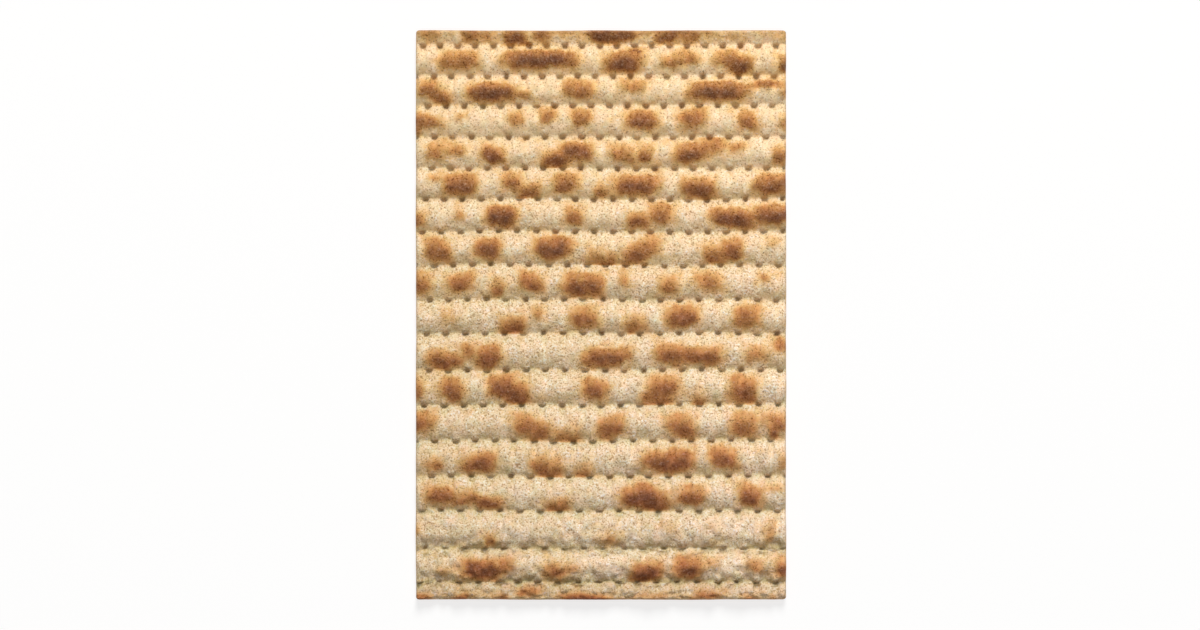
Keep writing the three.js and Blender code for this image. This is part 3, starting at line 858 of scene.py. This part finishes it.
# How strongly each of them shows.
LEE_SHADE_STRENGTH, NEAR_LEE_SHADE_STRENGTH = 0.34, 0.45
FLOUR_GAIN, FLOUR_STRENGTH = 1.2, 0.4
LIGHT_STRENGTH, PALE_LIGHT_STRENGTH, PALE_DARK_LOSS = 0.38, 0.62, 0.2
HOLE_SHADE_STRENGTH = 0.5
PINKISH_STRENGTH, OLIVE_STRENGTH, HUE_GAIN = 0.5, 0.6, 1.6
BRAN_STRENGTH, BRAN_LOSS = 0.75, 0.15
NEAR_FOOT_STRENGTH = 0.5
BROWN_TINT_GAIN = 2

# The grain of the dough: (size of its lumps in millimetres, number of finer layers), and its strength
# in the toasted colour and in the rough surface.
GRAIN, FLECK, PATCH = (0.5, 3), (1.0, 4), (2.2, 3)
FLOURED, HUES, ROSY, FINE_ROSY = (9, 2), (5, 2), (3, 2), (1.4, 3)
ROSY_STRENGTH, FINE_ROSY_STRENGTH = 0.07, 0.04
GRAIN_IN_TOAST, FLECK_IN_TOAST, TOASTED_GAIN, TOASTED_LOSS = 0.1, 0.08, 2, 0.7
PATCHES_OF_TOAST, PATCHES_OF_PALE = 0.3, 0.07
PALE_LIMIT = 4
ROUGH_GRAIN, ROUGH_FLECK = 1.5, 0.8
LEE_SMOOTHNESS, BROWN_SMOOTHNESS = 0.4, 0.35
FAR_ROUGHNESS, BEYOND_ROUGHNESS = 0.92, 0.3
BEYOND_BAND, ROUGH_BAND = (0.1, 0.5), (0.05, 0.9)

# The specks of bran, each in its own cell of the dough, and only in some of the cells.
BRAN_CELL = 1.1
BRAN_SIZE, BRAN_CHOICE = (0.24, 0.12), (0.55, 0.6)

# How light the dough is in all, and how much lighter or darker it is towards the right, the near end
# and the near right. The crumpled end is darkened as painted shade and its very edge lightened as painted
# light. The troughs are darkened as painted shade, but not at the left.
TONE = 1.065
TONES = {"right": 0.03, "near": -0.07, "near right": 0.045, "crumpled end": -0.14, "near edge": 0.12}
CRUMPLED_END_BAND, NEAR_EDGE_BAND = (0.95, 0.985), (0.99, 0.997)
LAST_RIDGE_BAND, FIRST_RIDGE_BAND = (0.963, 0.974), (0.031, 0.025)
TROUGH_SIDES, TROUGH_SHADE = (-0.9, -0.4), 0.19
# The last ridge is darkened as painted shade and the first ridge lightened as painted light.
LAST_RIDGE_SHADE, FIRST_RIDGE_PAINTED_LIGHT = 0.035, 0.05
COOL_FROM, COOLNESS = 0.2, 0.05

# What changes the red, the green and the blue of the dough, and by how much: painted shade on the
# far end's brink, on the last ridge and in the troughs, a cooler tint, rosy hues, and the grain, which is
# partly painted highlight and shade.
SHADES = {
    "brink": (-0.26, -0.24, -0.14),
    "last ridge": (-0.02, -0.1, -0.14),
    "pale last ridge": (0, 0.05, 0),
    "trough": (0, 0, -0.08),
    "cool": (0, 0, 1),
    "rosy": (1, -0.6, 0),
    "rough": (0.03, 0.13, 0.4),
    "pale rough": (0, -0.03, -0.2),
}

# The finish: matt, with the grain as fine bumps.
ROUGHNESS, GRAIN_ROUGHNESS, SPECULAR = 0.85, 0.1, 0.25
BUMP_HEIGHT, BUMP_GRAIN = 0.14, 0.6
BUMP_STRENGTH, BEYOND_BUMP_STRENGTH = 0.85, 0.25


class BakedDough:
    """The sheet's material: floury cream dough that turns orange-brown and then dark brown where it is
    toasted. Each step lays its colour over the colour so far."""

    def __init__(self):
        self.material = bpy.data.materials.new("baked_dough")
        self.material.use_nodes = True
        self.tree = self.material.node_tree
        self.place = self.add("ShaderNodeTexCoord").outputs["Object"]
        self.mark = SimpleNamespace(**{
            name: Value(self.add("ShaderNodeAttribute", attribute_name=name).outputs["Fac"])
            for name in MARKS})
        self.grain, self.fleck, self.patch = self.noise(*GRAIN), self.noise(*FLECK), self.noise(*PATCH)
        self.beyond = fade(self.mark.near, *BEYOND_BAND)
        self.toast()
        self.flour()
        self.roughen()
        self.vary()
        self.strew_bran()
        self.tint()
        self.shade()
        self.surface()

    def add(self, kind, inputs=None, **settings):
        return add_node(self.tree, kind, inputs, **settings)

    def noise(self, lump, layers):
        """Noise from about -1 to 1 with lumps of this size in millimetres."""
        node = self.add("ShaderNodeTexNoise", {
            "Vector": self.place, "Scale": 1 / (lump * MM), "Detail": layers})
        return Value(node.outputs[0]) * 2 - 1

    def mixed(self, share, first, second, blend_type="MIX"):
        """Mixes two colours. A Mix node holds its colours in the sockets 6 and 7."""
        node = self.add("ShaderNodeMix", data_type="RGBA", blend_type=blend_type)
        for socket, value in ((0, share), (6, first), (7, second)):
            plug(value, node.inputs[socket])
        return node.outputs[2]

    def lay(self, share, color, blend_type="MIX"):
        """Lays a share of a colour over the colour so far."""
        self.color = self.mixed(share, self.color, color, blend_type)

    def toast(self):
        """The colour that the baking gives, a little uneven from spot to spot."""
        toast = self.mark.toast
        speckle = ((self.grain * GRAIN_IN_TOAST + self.fleck * FLECK_IN_TOAST)
                   * (1 - within(toast * TOASTED_GAIN) * TOASTED_LOSS))
        self.level = within(
            toast * (1 + self.patch * PATCHES_OF_TOAST) + self.patch * PATCHES_OF_PALE + speckle)
        self.pale = within(1 - self.level * PALE_LIMIT)
        ramp = self.add("ShaderNodeValToRGB", {"Fac": self.level})
        stops = ramp.color_ramp.elements
        for missing in range(len(TOASTED) - len(stops)):
            stops.new(0.5)
        for stop, (position, color) in zip(stops, TOASTED):
            stop.position = position
            stop.color = color
        self.color = ramp.outputs["Color"]

    def flour(self):
        """Painted shade behind the ridges, an olive to grey colour over the pale dough there, and loose
        flour.
        """
        # Painted shade: the pale dough behind each ridge takes a darker colour, olive at the far end and
        # greyer at the near end.
        lee_shade_share = self.pale * self.mark.lee * (LEE_SHADE_STRENGTH + self.mark.near * NEAR_LEE_SHADE_STRENGTH)
        self.lay(lee_shade_share, self.mixed(self.mark.near, FAR_LEE_SHADE, NEAR_LEE_SHADE))
        self.lay(within(self.noise(*FLOURED) * FLOUR_GAIN) * self.pale * FLOUR_STRENGTH, FLOUR)

    def roughen(self):
        """The lighter and darker grain, partly painted highlight on the tops and painted shade in the
        hollows of the fine bumps, rougher away from the far end, and painted shade in the holes.
        """
        self.rough = ((self.grain * ROUGH_GRAIN + self.fleck * ROUGH_FLECK)
                      * (1 - self.mark.lee * self.pale * LEE_SMOOTHNESS)
                      * (FAR_ROUGHNESS + self.beyond * BEYOND_ROUGHNESS)
                      * (1 - self.beyond * (1 - self.pale) * BROWN_SMOOTHNESS))
        # The grain's colour follows the same noise as the bumps, so their tops are lighter and their
        # hollows darker: partly grain, partly painted highlight and shade.
        light, dark = fade(self.rough, *ROUGH_BAND), fade(self.rough * -1, *ROUGH_BAND)
        self.lay(
            light * (LIGHT_STRENGTH + self.pale * PALE_LIGHT_STRENGTH),
            self.mixed(self.pale, LIGHT_GRAIN_AND_HIGHLIGHT_ON_BROWN, LIGHT_GRAIN_AND_HIGHLIGHT_ON_PALE))
        self.lay(
            dark * (1 - self.pale * PALE_DARK_LOSS), self.mixed(self.pale, DARK_GRAIN_AND_SHADE_ON_BROWN, DARK_GRAIN_AND_SHADE_ON_PALE))
        # Painted shade in the holes: the deeper a place lies in one, the more it takes a dark olive
        # brown.
        self.lay(within(self.mark.hollow * HOLE_SHADE_STRENGTH), HOLE_SHADE)

    def vary(self):
        """Towards the near end the pale dough varies from a pinkish white to an olive yellow."""
        hue = self.noise(*HUES) * HUE_GAIN
        pale = self.pale * self.mark.near * self.mark.near
        self.lay(within(hue) * pale * PINKISH_STRENGTH, PINKISH)
        self.lay(within(hue * -1) * pale * OLIVE_STRENGTH, OLIVE)

    def strew_bran(self):
        """The specks of bran, which show less on pale dough and least at the near end."""
        cells = self.add("ShaderNodeTexVoronoi", {"Vector": self.place, "Scale": 1 / (BRAN_CELL * MM)})
        parts = self.add("ShaderNodeSeparateColor", {"Color": cells.outputs["Color"]})
        speck = (fade(Value(cells.outputs["Distance"]), *BRAN_SIZE)
                 * fade(Value(parts.outputs["Red"]), *BRAN_CHOICE))
        self.lay(speck * (BRAN_STRENGTH - self.pale * (BRAN_LOSS + self.mark.near * BRAN_LOSS)), BRAN)

    def tint(self):
        """The tints of the two ends. Towards the near one the ridges' feet are more yellow and the
        brown is redder."""
        near = self.mark.near
        self.lay(self.mark.foot * near * self.pale * NEAR_FOOT_STRENGTH, NEAR_FOOT)
        self.lay(1.0, self.mixed(near, FAR_TINT, NEAR_TINT), "MULTIPLY")
        browner = self.mixed(1.0, self.color, NEAR_BROWN_TINT, "MULTIPLY")
        self.lay(within(self.level * BROWN_TINT_GAIN) * near, browner)

    def shade(self):
        """How light each place is, and its hue: no two spots have quite the same, and some are rosier and
        some greener. The brink, the last ridge, the crumpled end and the troughs are darkened as painted
        shade, and the first ridge and the near edge lightened as painted light."""
        mark, near, side = self.mark, self.mark.near, self.mark.side
        last_ridge, first_ridge = fade(near, *LAST_RIDGE_BAND), fade(near, *FIRST_RIDGE_BAND)
        # Lighter or darker by place; the crumpled end's darkening is painted shade and the near edge's
        # lightening is painted light.
        tones = {
            "right": side,
            "near": near,
            "near right": side * near,
            "crumpled end": fade(near, *CRUMPLED_END_BAND),
            "near edge": fade(near, *NEAR_EDGE_BAND),
        }
        tone = TONE + sum(value * TONES[name] for name, value in tones.items())
        # Painted shade in the troughs and on the last ridge, and painted light on the first ridge.
        tone = (tone * (1 - mark.trough * fade(side, *TROUGH_SIDES) * TROUGH_SHADE)
                * (1 - last_ridge * LAST_RIDGE_SHADE) * (1 + first_ridge * FIRST_RIDGE_PAINTED_LIGHT))
        # Painted shade on the brink, the last ridge and the troughs, and the grain, which is partly
        # painted highlight and shade.
        changes = {
            "brink": mark.brink,
            "last ridge": last_ridge,
            "pale last ridge": last_ridge * self.pale,
            "trough": mark.trough,
            "cool": (side + COOL_FROM) * near * (1 - mark.lee) * COOLNESS,
            "rosy": self.noise(*ROSY) * ROSY_STRENGTH + self.noise(*FINE_ROSY) * FINE_ROSY_STRENGTH,
            "rough": self.rough,
            "pale rough": self.rough * self.pale,
        }
        shade = self.add("ShaderNodeCombineXYZ")
        for part, socket in enumerate(shade.inputs):
            change = sum(value * SHADES[name][part] for name, value in changes.items())
            plug(tone * (1 + change), socket)
        self.lay(1.0, shade.outputs[0], "MULTIPLY")

    def surface(self):
        """Matt, with fine bumps that are stronger away from the far end."""
        shader = self.tree.nodes["Principled BSDF"]
        plug(self.color, shader.inputs["Base Color"])
        plug(ROUGHNESS + self.grain * GRAIN_ROUGHNESS, shader.inputs["Roughness"])
        plug(SPECULAR, shader.inputs["Specular IOR Level"])
        bump = self.add("ShaderNodeBump", {
            "Height": self.grain * BUMP_GRAIN + self.fleck,
            "Strength": BUMP_STRENGTH + self.beyond * BEYOND_BUMP_STRENGTH,
            "Distance": BUMP_HEIGHT * MM})
        plug(bump.outputs["Normal"], shader.inputs["Normal"])


blisters = blisters_object()
rows = rows_object()
tree = SheetTree().tree
modifier = blisters.modifiers.new("bake", "NODES")
modifier.node_group = tree
given = {"Rows": rows, "Dough": BakedDough().material}
given.update((name, float(value)) for name, value in SHEET_INPUTS.items())
for name, value in given.items():
    modifier[tree.interface.items_tree[name].identifier] = value
evaluated = blisters.evaluated_get(bpy.context.evaluated_depsgraph_get())
sheet_mesh = bpy.data.meshes.new_from_object(evaluated)
sheet_mesh.name = "matzo"
for helper in (blisters, rows):
    bpy.data.objects.remove(helper)
matzo = bpy.data.objects.new("matzo", sheet_mesh)
bpy.context.collection.objects.link(matzo)
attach(matzo, "root")
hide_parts("matzo_sheet")

# --- The table top ------------------------------------------------------------------------------------
# A plain white surface that the sheet lies on, a little lit up so that it stays white round the sheet's
# soft shadow. It is a stage, not part of the bread.

FLOOR_SIZE = 6.0
FLOOR_COLOR, FLOOR_ROUGHNESS = srgb(142, 142, 142), 0.9
GLOW_COLOR, GLOW_STRENGTH = srgb(255, 255, 255), 0.73

half = FLOOR_SIZE / 2
corners = [(-half, -half, 0), (half, -half, 0), (half, half, 0), (-half, half, 0)]
floor_mesh = bpy.data.meshes.new("floor")
floor_mesh.from_pydata(corners, [], [(0, 1, 2, 3)])
table_top = bpy.data.objects.new("floor", floor_mesh)
bpy.context.collection.objects.link(table_top)
white = bpy.data.materials.new("white_table")
white.use_nodes = True
white_finish = white.node_tree.nodes["Principled BSDF"].inputs
white_finish["Base Color"].default_value = FLOOR_COLOR
white_finish["Roughness"].default_value = FLOOR_ROUGHNESS
white_finish["Emission Color"].default_value = GLOW_COLOR
white_finish["Emission Strength"].default_value = GLOW_STRENGTH
floor_mesh.materials.append(white)

# --- Light and camera ---------------------------------------------------------------------------------
# Soft daylight that falls low from the far end, a faint fill from above and from all round, and a
# camera straight above the sheet, whose view is a little more than twice as wide as the sheet is long.

# Each light: its place and its width in metres, its watts and its colour.
LIGHTS = {
    "window": ((0.3, 3.0, 2.8), 1.6, 156, (1, 0.985, 0.96)),
    "fill": ((0, -0.3, 2.2), 2.5, 11, (1, 0.99, 0.98)),
}
WORLD_COLOR, WORLD_STRENGTH = (1, 1, 1, 1), 0.18
CAMERA_PLACE = (-0.0003, 0, 1.0)
VIEW_WIDTH, SENSOR_WIDTH = 0.3566, 36

for name, (place, width, watts, color) in LIGHTS.items():
    lamp = bpy.data.lights.new(name, "AREA")
    lamp.shape = "SQUARE"
    lamp.size = width
    lamp.energy = watts
    lamp.color = color
    lamp_object = bpy.data.objects.new(name, lamp)
    lamp_object.location = place
    to_sheet = Vector([-at for at in place])
    lamp_object.rotation_euler = to_sheet.to_track_quat("-Z", "Y").to_euler()
    bpy.context.collection.objects.link(lamp_object)

world = bpy.data.worlds.new("studio")
world.use_nodes = True
world.node_tree.nodes["Background"].inputs["Color"].default_value = WORLD_COLOR
world.node_tree.nodes["Background"].inputs["Strength"].default_value = WORLD_STRENGTH
bpy.context.scene.world = world
bpy.context.scene.view_settings.view_transform = "Standard"

camera = bpy.data.cameras.new("camera")
camera.sensor_width = SENSOR_WIDTH
camera.lens = SENSOR_WIDTH * CAMERA_PLACE[2] / VIEW_WIDTH
camera_object = bpy.data.objects.new("camera", camera)
camera_object.location = CAMERA_PLACE
bpy.context.collection.objects.link(camera_object)
bpy.context.scene.camera = camera_object
